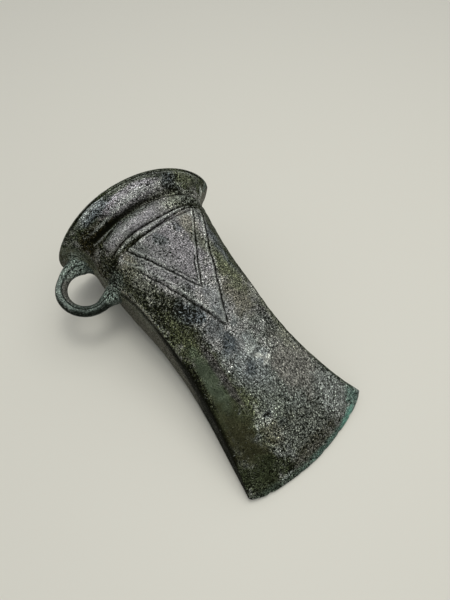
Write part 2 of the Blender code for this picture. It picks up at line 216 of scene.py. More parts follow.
def near_edge(s):
    return np.maximum(0.0, 1.0 - s / WAIST_AT)


def half_width(s):
    side = s + EDGE_SAG * near_edge(s) ** 2
    widen = ramp(WAIST_AT, NECK, side)
    body = WAIST + BLADE_SPREAD * near_edge(side) ** BLADE_BOW + NECK_SPREAD * widen ** NECK_BOW
    start, bow = SIDE_FLARE
    flare = np.maximum(0.0, (s - start) / (LENGTH - start)) ** bow
    corner = CORNER_ROUND * np.maximum(0.0, 1.0 - s / CORNER_REACH) ** 2
    return body + (MOUTH_WIDE - WAIST - NECK_SPREAD) * flare - corner


def half_depth(s):
    bevel = BEVEL_RISE * (1.0 - np.exp(-s / BEVEL_RUN))
    neck = EDGE_HALF + FACE_SLOPE * NECK + BEVEL_RISE
    body = EDGE_HALF + FACE_SLOPE * np.minimum(s, NECK) + bevel
    return body + (MOUTH_DEEP - neck) * smooth(*FACE_FLARE, s)


def side_half(s, x):
    grown = EDGE_HALF + SIDE_HALF * (s / SIDE_HALF_AT) ** SIDE_BOW
    side = np.minimum(SIDE_LIMIT * half_depth(s), grown)
    start, end, share = SIDE_FADE
    return side * np.where(x < 0.0, 1.0 - share * smooth(start, end, s), 1.0)


def roundness(s):
    return smooth(*ROUND_SPAN, s)


def centre_line(s):
    waist = WAIST_SHIFT * np.sin(math.pi * ramp(*WAIST_BOW, s))
    return EDGE_SHIFT * near_edge(s) ** EDGE_SHIFT_BOW - waist + MOUTH_SHIFT * roundness(s)


def squareness(s):
    least, most, start, end = SQUARENESS
    return mix(least, most, smooth(start, end, s))


def edge_bend(x, u, s):
    curve = EDGE_SAG * u ** 2 + EDGE_CORNER * np.abs(u) ** EDGE_CORNER_BOW * near_edge(2.0 * s)
    return curve * near_edge(s) ** 2 + EDGE_LEAN * x * near_edge(s)


def mouth_bend(x, u, s):
    rise = RIM_RISE * smooth(RIM_RISE_FROM, LENGTH, s) * (1.0 - u * u)
    return rise - MOUTH_SLANT * x * roundness(s)


# ---- relief of the broad faces ----

def swelling(s, start, end, height, power=SWELL_BOW):
    return height * np.sin(math.pi * ramp(start, end, s)) ** power


def leg(s, x, form):
    """Half width of a chevron at s, on the side of x."""
    tip, wide, blunt, bow_left, bow_right = form
    return mix(blunt, wide, ramp(tip, CHEVRON_TOP, s) ** np.where(x < 0.0, bow_left, bow_right))


def span(s, start, full, fade, end):
    """1 between full and fade, falling to 0 at start and end."""
    return smooth(start, full, s) * (1.0 - smooth(fade, end, s))


def begins(s, tip, reach):
    """0 below a chevron's tip, 1 above it."""
    return smooth(tip + reach[0], tip + reach[1], s)


def unsteady(s, seed):
    """A slow wander from -1 to 1 along s, as of a hand-cut line."""
    return sum(share * np.sin(rate * s + turn * seed) for share, rate, turn in WAVES)


def breaks(place, rate, seed):
    """The share of its depth that a line has at a place along it."""
    return 1.0 + LINE_BREAKS * unsteady(rate * place, seed)


def outer_groove(s, loop_side):
    """Depth of the groove outside the panel's edge."""
    share, *tip_span = OUTER_GROOVE_TIP
    depth = np.where(loop_side, *OUTER_GROOVE) * breaks(s, BREAK_RATE, BREAK_SEEDS[0])
    depth = depth * np.where(loop_side, smooth(*OUTER_GROOVE_FADE, s), 1.0)
    return depth * mix(share, 1.0, begins(s, OUTER[0], tip_span))


def inner_chevron(s, x, loop_side):
    """The inner legs: a raised middle, a ridge along each leg and the lines cut beside it."""
    gap = (np.abs(x) - leg(s, x, INNER)) * LEG_LEAN
    first = np.where(loop_side, INNER_DEEPER, 1.0) * bump(gap, 0.0, INNER_GROOVE_HALF)
    second = SECOND_SHARE * (smooth(*SECOND_FADE, s) * bump(gap, *SECOND_LINE))
    lines = INNER_GROOVE * (first + second) * breaks(s, BREAK_RATE, BREAK_SEEDS[1])
    return INNER_LIFT * smooth(INNER_STEP, -INNER_STEP, gap) + bump(gap, *INNER_RIDGE) - lines


def chevrons(s, x, plain):
    """The nested chevrons: a raised panel with a sharp edge, and the inner legs cut into it."""
    x = x + LINE_WANDER * unsteady(s, np.where(x < 0.0, *LINE_SEEDS))
    loop_side = x < 0.0
    outer = leg(s, x, OUTER) - bump(s, *OUTER_DIP) * (x > 0.0)
    out = (np.abs(x) - outer) * LEG_LEAN
    reach = begins(s, OUTER[0], OUTER_START) * (
        1.0 - smooth(CHEVRON_TOP - CHEVRON_END, CHEVRON_TOP, s))
    panel = OUTER_LIFT * smooth(OUTER_STEP, -OUTER_STEP, out) * reach
    if plain:
        return panel
    groove = outer_groove(s, loop_side) * bump(out, *OUTER_GROOVE_AT)
    panel += (bump(out, *OUTER_EDGE) - groove) * reach
    stem = bump(x, *STEM_AT) * smooth(*STEM_START, s) * smooth(*STEM_END, s)
    inside = begins(s, INNER[0], INNER_START) * reach
    return panel + inner_chevron(s, x, loop_side) * inside - stem


def climb(x):
    """How far the groove and the roll climb towards the narrow sides."""
    left, right = CLIMB_FROM
    return CLIMB[0] * np.maximum(0.0, left - x) ** 2 + CLIMB[1] * np.maximum(0.0, x - right) ** 2


def rib_lines(s, x, proud):
    """The fine lines above and below the thin rib."""
    drop, widen = RIB_LINE_PROUD
    low = THIN_LOW + THIN_SLOPE * x - drop * proud
    above = bump(s, THIN_HIGH, RIB_LINE_HALF, RIB_LINE_HIGH)
    below = smooth(*RIB_LINE_START, x) * bump(s, low, RIB_LINE_HALF * (1.0 + widen * proud))
    return RIB_LINE * (above + below) * breaks(x, *RIB_BREAKS)


def cross_ribs(s, x, u):
    """The main and the thin rib across the neck, and the groove above them."""
    loop_side, other = (1.0 - smooth(*fade, np.abs(u)) for fade in RIB_FADE)
    proud = smooth(*PROUD, x)
    thin = swelling(s, THIN_LOW + THIN_SLOPE * x, THIN_HIGH, mix(*THIN_LIFT, proud))
    ribs = thin + swelling(s, THIN_HIGH, MAIN_TOP, MAIN_LIFT) - rib_lines(s, x, proud)
    share, start, end = GROOVE_SHALLOW
    groove = swelling(s - np.minimum(CLIMB_LIMIT, climb(x)), *GROOVE) * (
        1.0 - share * smooth(start, end, x))
    return ribs * np.where(u < 0.0, loop_side, other) - groove * (
        1.0 - smooth(*GROOVE_FADE, np.abs(u)))


def collar_roll(s, x):
    """The collar's rounded roll, and the line under its lip."""
    start, end, height, bow = ROLL
    start = np.minimum(ROLL_LIMIT, start + climb(x) + ROLL_STEP[2] * smooth(*ROLL_STEP[:2], x))
    place, rise, half, depth = LIP_LINE
    line = np.minimum(LIP_LINE_LIMIT, place + rise * (x - LIP_LINE_MIDDLE) ** 2)
    return swelling(s, start, end, height, bow) - bump(s, line, half, depth)


def blade_wear(s, x, u):
    """The flute along the loop side of the blade, and that side's rubbed edge."""
    margin = MARGIN_DROP * smooth(MARGIN_FROM, 1.0, -u) * span(s, *MARGIN_SPAN)
    return -bump(x, *FLUTE) * span(s, *FLUTE_SPAN) - margin


def edge_nicks(x, s):
    """Nicks in the cutting edge."""
    return sum(bump(x, *nick) for nick in NICKS) * np.exp(-s / NICK_REACH)


def face_grid(s, u, plain):
    """A broad face: points at the rows s (a column) and the shares u, Z outwards."""
    wide, deep = half_width(s), half_depth(s)
    x = u * wide
    blend = roundness(s)
    angle = np.radians(u * OVAL_FACE)
    side = side_half(s, x)
    hexagon = mix(side, deep, 1.0 - np.abs(u) ** squareness(s))
    across = mix(x, wide * np.sin(angle), blend)
    raised = mix(hexagon, deep * np.cos(angle), blend)
    share = BACK_SHARE if plain else 1.0
    raised = raised + share * (chevrons(s, x, plain) * (1.0 - blend) + cross_ribs(s, x, u))
    if not plain:
        raised = raised + blade_wear(s, x, u)
    raised = (raised + collar_roll(s, x) * np.cos(angle) ** 2) * edge_rounding(s)
    along = s + edge_bend(across, u, s) + mouth_bend(across, across / wide, s) + edge_nicks(x, s)
    return np.stack([across + centre_line(s), along, raised], axis=-1)


def edge_rounding(s):
    """The share of its thickness that the rounded cutting edge keeps."""
    t = np.clip(1.0 - s / EDGE_ROUND, 0.0, 1.0)
    return np.sqrt(1.0 - EDGE_BLUNT * t * t)


def side_grid(s, t, sign):
    """A narrow side, from the front face (t = 0) to the back (t = 1)."""
    wide, deep, side = half_width(s), half_depth(s), side_half(s, np.full_like(s, sign))
    angle = np.radians(OVAL_FACE + (180.0 - 2.0 * OVAL_FACE) * t)
    blend = roundness(s)
    across = sign * mix(wide, wide * np.sin(angle), blend)
    raised = mix(side * (1.0 - 2.0 * t), deep * np.cos(angle), blend) * edge_rounding(s)
    along = s + edge_bend(across, 1.0, s) + mouth_bend(across, across / wide, s)
    return np.stack([across + centre_line(s), along, raised], axis=-1)


def body_rows():
    """The rows' distances from the cutting edge, as a column."""
    spans = [np.linspace(start, end, count, endpoint=False) for start, end, count in ROW_SPANS]
    return np.concatenate([EDGE_ROWS, *spans, [ROW_SPANS[-1][1]]])[:, None]


def shares():
    """The shares of the columns: front and back across the faces, side from front to back."""
    front = np.linspace(-1.0, 1.0, FRONT_STEPS + 1)[None, :]
    back = np.linspace(1.0, -1.0, BACK_STEPS + 1)[None, :]
    side = (np.arange(1, SIDE_STEPS) / SIDE_STEPS)[None, :]
    return front, back, side


def ring_angles():
    """Where the columns lie round the mouth, in radians from the front's middle."""
    front, back, side = (row[0] for row in shares())
    right = OVAL_FACE + (180.0 - 2.0 * OVAL_FACE) * side
    return np.radians(np.concatenate([
        front * OVAL_FACE, right, 180.0 - back * OVAL_FACE, 180.0 + right]))


def oval_row(s, wide, deep, power=2.0):
    """A row of points round the mouth or the bore; a power above 2 makes it squarer."""
    def wave(value):
        return np.copysign(np.abs(value) ** (2.0 / power), value)
    angle = ring_angles()
    x, z = wide * wave(np.sin(angle)), deep * wave(np.cos(angle))
    y = s + mouth_bend(x, x / wide, s)
    return np.stack([x + centre_line(s), y, z], axis=-1)


def lip_rows():
    """The rounded lip, from the outer surface over to the bore."""
    wide, deep = half_width(LENGTH), half_depth(LENGTH)
    rows = []
    for k in range(1, 2 * LIP_STEPS):
        turn = math.pi / 2 * min(k, 2 * LIP_STEPS - k) / LIP_STEPS
        inset = LIP_ROUND * (1.0 - math.cos(turn))
        inset = inset if k <= LIP_STEPS else LIP_WALL - inset
        s = LENGTH - LIP_ROUND * (1.0 - math.sin(turn))
        rows.append(oval_row(s, wide - inset, deep - inset))
    return rows


def socket_rows():
    """The funnel inside the mouth, then the bore down to its floor."""
    rows = []
    for s in np.linspace(LENGTH - LIP_ROUND, NECK, FUNNEL_ROWS, endpoint=False):
        t = ((s - NECK) / (LENGTH - NECK)) ** 2
        wide = mix(NECK_BORE_WIDE, half_width(LENGTH) - LIP_WALL, t)
        deep = mix(NECK_BORE_DEEP, half_depth(LENGTH) - LIP_WALL, t)
        rows.append(oval_row(s, wide, deep, mix(BORE_POWER, 2.0, t)))
    for s in np.linspace(NECK, FLOOR, BORE_ROWS):
        t = (s - FLOOR) / (NECK - FLOOR)
        wide = mix(FLOOR_WIDE, NECK_BORE_WIDE, t ** BORE_BOW)
        rows.append(oval_row(s, wide, mix(FLOOR_DEEP, NECK_BORE_DEEP, t), BORE_POWER))
    return rows


def grid_faces(rows, columns):
    """Quads of a grid of rows whose columns close on themselves."""
    low = np.arange(rows - 1)[:, None] * columns
    high = low + columns
    k = np.arange(columns)[None, :]
    n = (k + 1) % columns
    return np.stack([low + k, low + n, high + n, high + k], axis=-1).reshape(-1, 4)


def zip_chains(first, second, points):
    """Triangles between two chains of points that share their first and last point."""
    faces, i, j = [], 0, 0
    while i < len(first) - 1 or j < len(second) - 1:
        a, b = first[i], second[j]
        step_i = i < len(first) - 1 and (
            j == len(second) - 1 or points[first[i + 1]][0] <= points[second[j + 1]][0])
        corner = first[i + 1] if step_i else second[j + 1]
        i, j = (i + 1, j) if step_i else (i, j + 1)
        if len({a, b, corner}) == 3:
            faces.append((a, corner, b))
    return faces


def plain_facts(points, zone):
    return np.stack([points[:, 0], points[:, 1], np.full(len(points), zone)], axis=-1)


def body_shell():
    """Points, faces and facts (place across, place along, zone) of the hollow body."""
    s = body_rows()
    front, back, side = shares()
    wide = half_width(s)
    whole = np.ones_like(side)
    across = np.concatenate([front * wide, whole * wide, back * wide, -whole * wide], axis=1)
    zone = np.concatenate([np.full_like(row, kind) for row, kind in (
        (front, FRONT), (side, RIGHT), (back, BACK), (side, LEFT))], axis=1)
    far = face_grid(s, back, plain=True) * (1.0, 1.0, -1.0)
    outside = np.concatenate([
        face_grid(s, front, plain=False), side_grid(s, side, 1.0),
        far, side_grid(s, 1.0 - side, -1.0)], axis=1)
    grid = np.concatenate([outside, np.stack(lip_rows() + socket_rows())])
    rows, columns = grid.shape[:2]
    points = grid.reshape(-1, 3)
    faces = [tuple(face) for face in grid_faces(rows, columns)]
    half = SIDE_STEPS // 2
    ring = list(range(columns))
    top = [columns - half] + ring[columns - half + 1:] + ring[:FRONT_STEPS + half + 1]
    start = FRONT_STEPS + half
    bottom = ring[start:columns - half + 1][::-1]
    faces += zip_chains(top, bottom, points)
    points = np.concatenate([points, [(centre_line(FLOOR), FLOOR, 0.0)]])
    last = (rows - 1) * columns
    faces += [(last + k, last + (k + 1) % columns, rows * columns) for k in range(columns)]
    facts = plain_facts(points, INSIDE)
    count = len(s) * columns
    facts[:count] = np.stack(np.broadcast_arrays(across, s, zone), axis=-1).reshape(-1, 3)
    return points, faces, facts


# ---- the loop ----

def loop_shell():
    """The loop's bar: an arc from the collar, then a straight stem into the body's wall."""
    share = np.linspace(0.0, 1.0, LOOP_STEPS)
    web = LOOP_WEB * span(share, *LOOP_WEB_SPAN)
    angle = mix(*np.radians(LOOP_ARC), share)
    spokes = np.stack([np.cos(angle), np.sin(angle), 0.0 * angle], axis=-1)
    arc = np.array([*LOOP_CENTRE, 0.0]) + (LOOP_RADIUS + web)[:, None] * spokes
    root = np.array([*LOOP_ROOT, 0.0])
    stem = [mix(arc[-1], root, t) for t in np.linspace(0.0, 1.0, LOOP_STEM_STEPS)[1:]]
    path = np.concatenate([arc, stem])
    along = np.gradient(path, axis=0)
    along /= np.linalg.norm(along, axis=1)[:, None]
    length = np.linspace(0.0, 1.0, len(path))
    web = np.concatenate([web, np.zeros(len(stem))])
    thick = (LOOP_THICK + web + LOOP_SWELL * smooth(*LOOP_SWELL_SPAN, length)) * mix(
        LOOP_TIP, 1.0, smooth(0.0, LOOP_TIP_SPAN, length))
    out = np.stack([along[:, 1], -along[:, 0], 0.0 * length], axis=-1)
    turn = 2.0 * math.pi * np.arange(LOOP_SIDES) / LOOP_SIDES
    shape = 1.0 - bump(np.degrees(turn), *LOOP_SEAM)
    rings = path[:, None] + thick[:, None, None] * shape[None, :, None] * (
        np.cos(turn)[None, :, None] * out[:, None] + np.sin(turn)[None, :, None] * (0.0, 0.0, 1.0))
    faces = [tuple(face) for face in grid_faces(len(path), LOOP_SIDES)]
    last = (len(path) - 1) * LOOP_SIDES
    faces += [tuple(range(LOOP_SIDES)), tuple(range(last, last + LOOP_SIDES))]
    return rings.reshape(-1, 3), faces


# ---- joining ----

def show(name, data):
    """A new object in the scene."""
    item = bpy.data.objects.new(name, data)
    bpy.context.scene.collection.objects.link(item)
    return item


def outward_mesh(name, points, faces):
    bm = bmesh.new()
    verts = [bm.verts.new(p) for p in points]
    for face in faces:
        bm.faces.new([verts[k] for k in face])
    bmesh.ops.recalc_face_normals(bm, faces=bm.faces)
    mesh = bpy.data.meshes.new(name)
    bm.to_mesh(mesh)
    bm.free()
    return mesh


def array_of(data, field, width):
    """A field of a mesh's items, as rows of the given width."""
    values = np.zeros(len(data) * width)
    data.foreach_get(field, values)
    return values.reshape(-1, width)


def set_points(mesh, points):
    mesh.vertices.foreach_set("co", points.astype(np.float32).ravel())
    mesh.update()


def fillet(mesh, other, low, high):
    """Swell a surface outwards where it comes near another, as a fillet does."""
    tree = BVHTree.FromPolygons(
        [v.co for v in other.vertices], [p.vertices for p in other.polygons])
    points, normals = array_of(mesh.vertices, "co", 3), array_of(mesh.vertex_normals, "vector", 3)
    near = np.nonzero(np.all((points > low) & (points < high), axis=1))[0]
    for k in near:
        spot, normal, _, distance = tree.find_nearest(Vector(points[k]), FILLET)
        if spot is None:
            continue
        if (Vector(points[k]) - spot).dot(normal) < 0.0:
            distance = 0.0
        points[k] += normals[k] * (FILLET - distance) ** 2 / (4.0 * FILLET)
    return points


def join_shells(body, loop):
    """One closed casting out of the body and the loop."""
    objects = show("body", body), show("loop", loop)
    union = objects[0].modifiers.new("join", 'BOOLEAN')
    union.operation, union.solver, union.object = 'UNION', 'EXACT', objects[1]
    graph = bpy.context.evaluated_depsgraph_get()
    joined = bpy.data.meshes.new_from_object(objects[0].evaluated_get(graph))
    for old in objects:
        bpy.data.objects.remove(old, do_unlink=True)
    return joined


def nearest(tree_points, points):
    """The index of, and the distance to, the nearest of tree_points for each point."""
    tree = KDTree(len(tree_points))
    for k, point in enumerate(tree_points):
        tree.insert(point, k)
    tree.balance()
    found = [tree.find(point)[1:] for point in points]
    return np.array([k for k, _ in found]), np.array([distance for _, distance in found])


def relax(points, edges, passes):
    """The points after passes in which each moves halfway to its neighbours' middle."""
    first, second = edges.T
    count = np.bincount(edges.ravel(), minlength=len(points))[:, None]
    for _ in range(passes):
        total = np.stack([np.bincount(first, points[second, i], len(points))
                          + np.bincount(second, points[first, i], len(points))
                          for i in range(3)], axis=-1)
        points = 0.5 * points + 0.5 * total / count
    return points


def casting():
    """The joined casting with its smoothed seam, and the facts of its points."""
    points, faces, facts = body_shell()
    inner = facts[:, 2] == INSIDE
    body = outward_mesh("body", points, faces)
    rings, loop_faces = loop_shell()
    loop = outward_mesh("loop", rings, loop_faces)
    facts = np.concatenate([facts, plain_facts(rings, LOOP)])
    reach = LOOP_RADIUS + LOOP_THICK + FILLET
    low = np.array([LOOP_CENTRE[0] - reach, LOOP_CENTRE[1] - 2 * reach, -FILLET_HIGH])
    high = np.array([LOOP_CENTRE[0] + 2 * reach, LOOP_CENTRE[1] + reach, FILLET_HIGH])
    grown = fillet(body, loop, low, high)
    grown[inner] = points[inner]
    thicker = fillet(loop, body, low, high)
    set_points(body, grown)
    set_points(loop, thicker)
    joined = join_shells(body, loop)
    points = array_of(joined.vertices, "co", 3)
    source, moved = nearest(np.concatenate([grown, thicker]), points)
    edges = array_of(joined.edges, "vertices", 2).astype(int)
    seam = points[moved > SEAM_GAP]
    _, distance = nearest(seam, points)
    share = (SEAM_SOFT * np.exp(-(distance / SEAM_REACH) ** 2))[:, None]
    set_points(joined, mix(points, relax(points, edges, SEAM_PASSES), share))
    return joined, facts[source], edges


def lie_down(points):
    """From the axe's own frame to the row frame, in metres: loop and edge meet the CAD box."""
    turn = np.array(Matrix.Rotation(math.radians(REST_TILT), 3, 'X'))
    laid = points @ turn.T - (0.0, 0.0, REST_LEVEL)
    low, high = (np.array(corner) / MM for corner in CAD_BOX)
    laid += (*(low - laid.min(axis=0))[:2], 0.0)
    return np.clip(laid, low, high) * MM


# ---- patina, with painted sheen, highlight and shade ----

# Linear colours of the surface; the lilac grey is a painted sheen, the blue grey a painted
# highlight, the tar black painted shade over dark patina, the sooty black dark patina and in
# places painted shade
GREY, LILAC_SHEEN, SLATE = (0.15, 0.15, 0.14), (0.167, 0.159, 0.17), (0.045, 0.054, 0.058)
BLADE_GREY, OLIVE, MOSS = (0.076, 0.086, 0.074), (0.064, 0.072, 0.04), (0.021, 0.026, 0.012)
BROWN, OCHRE, PALE = (0.022, 0.019, 0.009), (0.165, 0.157, 0.118), (0.31, 0.335, 0.3)
VERDIGRIS, SEA, BLACK = (0.083, 0.215, 0.163), (0.05, 0.085, 0.068), (0.004, 0.0043, 0.0024)
ICE, UMBER, ROSE = (0.165, 0.185, 0.188), (0.035, 0.04, 0.018), (0.11, 0.105, 0.09)
PLUM, BLUE_HIGHLIGHT, DARK_PATINA_AND_SHADE = (0.04, 0.036, 0.037), (0.09, 0.105, 0.112), (0.013, 0.011, 0.003)
TAWNY, SOOT_AND_SHADE, LEAF = (0.09, 0.086, 0.062), (0.025, 0.028, 0.014), (0.05, 0.066, 0.04)
MOSSY, VERDANT, FERN = (0.115, 0.119, 0.088), (0.112, 0.122, 0.11), (0.036, 0.05, 0.036)
CHALK = (0.47, 0.49, 0.44)

# Patches of the front, each over those before it: colour, strength, place and half size (across,
# along), turn in degrees, and what it adds to dirt, dust and grit: pits, pale specks and grain
# Some rows are painted sheen, highlight, shade or shadow, as marked.
PATCHES = (
    (BLADE_GREY, 1, (0, 25), (60, 34), 0, 0.05, 0.05, -0.15),
    (MOSS, 1, (0, 119.5), (60, 6.2), 0, 0.05, 0, 0.2),
    # painted sheen along the top of the collar's roll
    (LILAC_SHEEN, 1, (-4, 115), (11, 2.4), 0, 0, 0.15, 0.15),
    # painted shade on the roll's upper slope, under the lip
    (MOSS, 0.7, (2, 119), (13, 1.5), 0, 0.2, 0, 0.2),
    (SLATE, 0.95, (12, 115.8), (5, 3), 0, 0.4, 0.1, 0.3),
    (OLIVE, 1, (17.5, 116.5), (5, 3.6), 0, -0.1, 0.1, -0.3),
    # dark brown patina with painted shade, in the hollow under the collar's end
    (BROWN, 0.97, (-24, 114.6), (8, 2.8), -10, 0.2, 0.2),
    # painted highlight along the collar's end by the loop
    (BLUE_HIGHLIGHT, 0.85, (-17, 118.1), (7, 1.6), -6, 0, 0.1, -0.2),
    # painted shade over dark patina in the groove under the roll
    (DARK_PATINA_AND_SHADE, 0.97, (-17, 112.4), (9, 1.9), -4, 0.1, -0.2, -0.5),
    # painted sheen on the main rib
    (LILAC_SHEEN, 0.95, (-8, 108), (14, 2), 0, -0.15, 0.1, -0.3),
    (OLIVE, 0.5, (7, 107.5), (6, 2), 0, 0.1),
    # painted shade on the slope down to the groove
    (MOSS, 0.85, (-9, 111.2), (12, 1.5), 0, 0.1, 0.1, 0.4),
    (MOSSY, 0.7, (8, 111.8), (9, 1.3), 0, 0.2, 0, 0.4),
    (OLIVE, 0.85, (14, 108.6), (8, 3.8), 0, 0.15, 0.1, 0.4),
    (BROWN, 0.95, (-25, 106.5), (5, 6), 0, 0.1, 0.2, 0.2),
    # painted shadow cast by the thin rib's proud end
    (BROWN, 0.9, (-17, 104.6), (7, 1.8), 0, 0.1),
    (OLIVE, 0.5, (-13, 101.5), (3.4, 5), 0, 0.1),
    (BLADE_GREY, 0.8, (-8, 110), (12, 1.4), 0, 0.1),
    (BLADE_GREY, 0.5, (17, 101.5), (3.4, 3.4), 0, 0.1),
    # painted highlight: pale on the top of the roll
    (PALE, 0.3, (-4, 114.4), (6.5, 1.3), 0, 0, 0.1),
    # painted shade on the roll's upper slope, under the lip (two rows)
    (BLACK, 0.95, (7.5, 118.5), (4.8, 1.5), 0, 0.2),
    (SOOT_AND_SHADE, 0.6, (-3, 118.4), (8, 1.2), 0, 0.1),
    # painted shade over dark patina in the hollow by the loop
    (DARK_PATINA_AND_SHADE, 0.75, (-23, 114.6), (6, 2.2), -8),
    (MOSS, 0.85, (20.5, 113.8), (4.5, 1.9), 0, 0.4, 0.2, 0.2),
    # painted shade in the hollow under the roll
    (DARK_PATINA_AND_SHADE, 0.7, (-17, 114), (3.5, 1.3), 0, 0.1),
    # painted highlight where the lip turns at the collar's end
    (PALE, 0.8, (30.8, 116.2), (1.3, 1.6), 0, -0.2, 0.2),
    (PALE, 0.35, (16, 110.2), (4.5, 2.2), 0, -0.1),
    (MOSS, 0.75, (20, 107.5), (8, 5), 0, 0.4, 0.3, 0.3),
    # painted sheen over the panel, on its lilac tint
    (LILAC_SHEEN, 0.7, (-2, 93), (15, 16), 0, 0, 0, -0.45),
    (SLATE, 0.75, (-3.6, 99.5), (1.8, 2.8), 20, 0.1, -0.1),
    (SLATE, 0.65, (5, 100), (2.4, 2.6), 0, 0.1, -0.1),
    (OCHRE, 0.7, (10, 99.5), (3.5, 4.5), 0, 0, 0.1, -0.2),
    (OCHRE, 0.85, (-17.8, 98.8), (2.8, 4.8), -20, -0.1, 0.1, -0.3),
    (MOSS, 0.85, (23, 104), (4.5, 10), 0, 0, 0, -0.2),
    (OLIVE, 0.7, (11.5, 90), (3.6, 8), 25, 0.2),
    (ICE, 0.4, (1.6, 69), (4.6, 8), 0, -0.25, 0, -0.8),
    (SLATE, 0.35, (-5, 79), (3, 4), 20),
    (OLIVE, 0.95, (14.4, 78), (4, 9), 0, -0.1, 0, 0.1),
    (SLATE, 0.9, (18.6, 88), (3.6, 12), 3, 0, -0.1, 0.2),
    (MOSS, 1, (22.5, 86), (4.6, 20), 0, 0, -0.2, -0.5),
    (OLIVE, 0.8, (12, 77), (3, 3.4), 0, 0.1),
    (TAWNY, 0.85, (11, 67.5), (6, 8.5), 0, 0, 0, -0.2),
    (OLIVE, 0.7, (13.4, 71.5), (3.6, 4.5), 0, 0.1),
    (OLIVE, 0.6, (-17, 88), (3.6, 13), 4, 0.3, 0.3, 0.6),
    (SOOT_AND_SHADE, 0.85, (-13.4, 79.5), (3.4, 8), 26, 0.3, 0.2, 0.6),
    (SOOT_AND_SHADE, 0.95, (-21.4, 88), (2.6, 26), 3, 0.3, 0.15, 0.5),
    (SOOT_AND_SHADE, 1, (-15, 69), (7, 14), 14, 0.25, 0.15, 0.6),
    (SLATE, 0.9, (-9, 70.5), (4.6, 7), 26, 0.1, 0.05),
    (SLATE, 0.6, (-5, 61), (6, 6), 30, 0, 0, -0.4),
    (ICE, 0.4, (-1, 44), (7, 16), 0, -0.3, 0.1, -0.7),
    (SLATE, 0.95, (-3, 53.5), (4, 4.2), 0, 0, 0, -0.2),
    (SLATE, 0.9, (-1.8, 42), (3, 3.2), 0, 0, 0, -0.2),
    (PALE, 0.4, (2.2, 48), (2.6, 2.6), 0, -0.3, 0.3, -0.4),
    (UMBER, 0.35, (-5, 28), (9, 12), 0),
    (ICE, 0.5, (5.6, 43), (3.8, 2.6), 20, -0.1, 0.3),
    (PALE, 0.8, (10.3, 44), (1.1, 1.1), 0, 0, 0.2),
    (BLACK, 1, (10.3, 44), (0.5, 0.5), 0),
    (CHALK, 0.9, (4.2, 43.9), (2.4, 0.95), -35, -0.8, 0.2, -0.7),
    (CHALK, 0.9, (6.9, 41.3), (3, 0.95), 20, -0.8, 0.2, -0.7),
    (CHALK, 0.6, (-9, 29), (1, 3), -10, -0.2, 0.2),
    (UMBER, 0.8, (-11.5, 28), (5.2, 19), 0, 0.1, 0.1, 0.1),
    (PALE, 0.3, (-9, 24.6), (4.4, 3), 0, 0, 0.35, 0.3),
    (SLATE, 0.8, (-7, 25), (2.2, 1.5), 0, 0.2),
    (BLACK, 0.8, (-6.4, 25.2), (1.3, 0.9), 10, 0.2),
    (PALE, 0.8, (-12.6, 23.4), (0.6, 1.7), -20, 0, 0.2),
    (PALE, 0.8, (-7.6, 22.6), (2.2, 0.5), 12, 0, 0.2),
    (PALE, 0.6, (-13.4, 12), (0.4, 2.2), 6, 0, 0.2),
    (OCHRE, 0.3, (-9, 18), (4.5, 7), 0, 0.1, 0.3),
    (ROSE, 0.75, (14.5, 33), (9.5, 15), 0, -0.2, 0, -0.35),
    (MOSSY, 0.7, (18.6, 42), (3.4, 7), 0, 0, 0.1),
    (BLACK, 0.5, (17, 55), (2.6, 9), 0, 0.45, 0.1, 0.3),
    (MOSSY, 0.85, (20.4, 54), (1.8, 9), 0, 0, 0, -0.2),
    (OLIVE, 0.4, (18.5, 65), (4, 6), 0, 0.1),
    (OLIVE, 0.4, (21.5, 52), (2.5, 5), 0, 0.1),
    (BLADE_GREY, 0.4, (-9.5, 94), (7, 9), 0),
    (BLADE_GREY, 0.6, (-6.8, 78), (2.6, 6), 0, 0.2),
    (BLADE_GREY, 0.5, (-12.5, 101), (2.6, 6), 0, 0.1),
    (SOOT_AND_SHADE, 0.9, (-21.6, 52), (2.4, 6.5), 0, 0.4, 0.2, 1.2),
    (UMBER, 1, (-20.5, 36), (9.6, 36), 0, -0.3, -0.3, -0.7),
    (LEAF, 0.9, (-17.2, 47), (3.8, 12), 0, -0.1, -0.1),
    (PLUM, 0.7, (-12.4, 47), (1.5, 15), 0, 0.1, 0, 0.3),
    (BROWN, 0.6, (-20, 19), (8, 16), 8, 0.1, 0, 0.2),
    (BROWN, 0.35, (3, 12), (20, 9), 0, 0.3, 0.2, 0.4),
    (VERDANT, 1, (21.5, 12.5), (8, 10), 0, 0, 0.2),
    (BROWN, 0.7, (-2, 3.4), (22, 4.4), 0, 0.1),
    (MOSS, 0.95, (-24, 5.5), (15, 9), 0, 0.2, -0.1, 0.1),
    (SEA, 0.6, (30, 3), (5, 5), 0),
    (PALE, 0.75, (-15, 2.4), (3.6, 0.6), 4, 0, 0.4, 0.3),
    (FERN, 0.75, (-6, 0.6), (30, 2.6), 0),
    (SEA, 0.9, (9, 0.6), (18, 1.8), 0, -0.2, 0.1, -0.3),
    (VERDIGRIS, 0.9, (19.5, 1), (5.5, 1.9), 8, -0.4, 0.1, -0.3),
    (SEA, 0.8, (26.5, 4.6), (3, 3), 0),
    # painted shadow under the thin rib, by the loop
    (SOOT_AND_SHADE, 0.95, (-12.5, 103.9), (9, 1.2), -4, 0.1, -0.1),
)
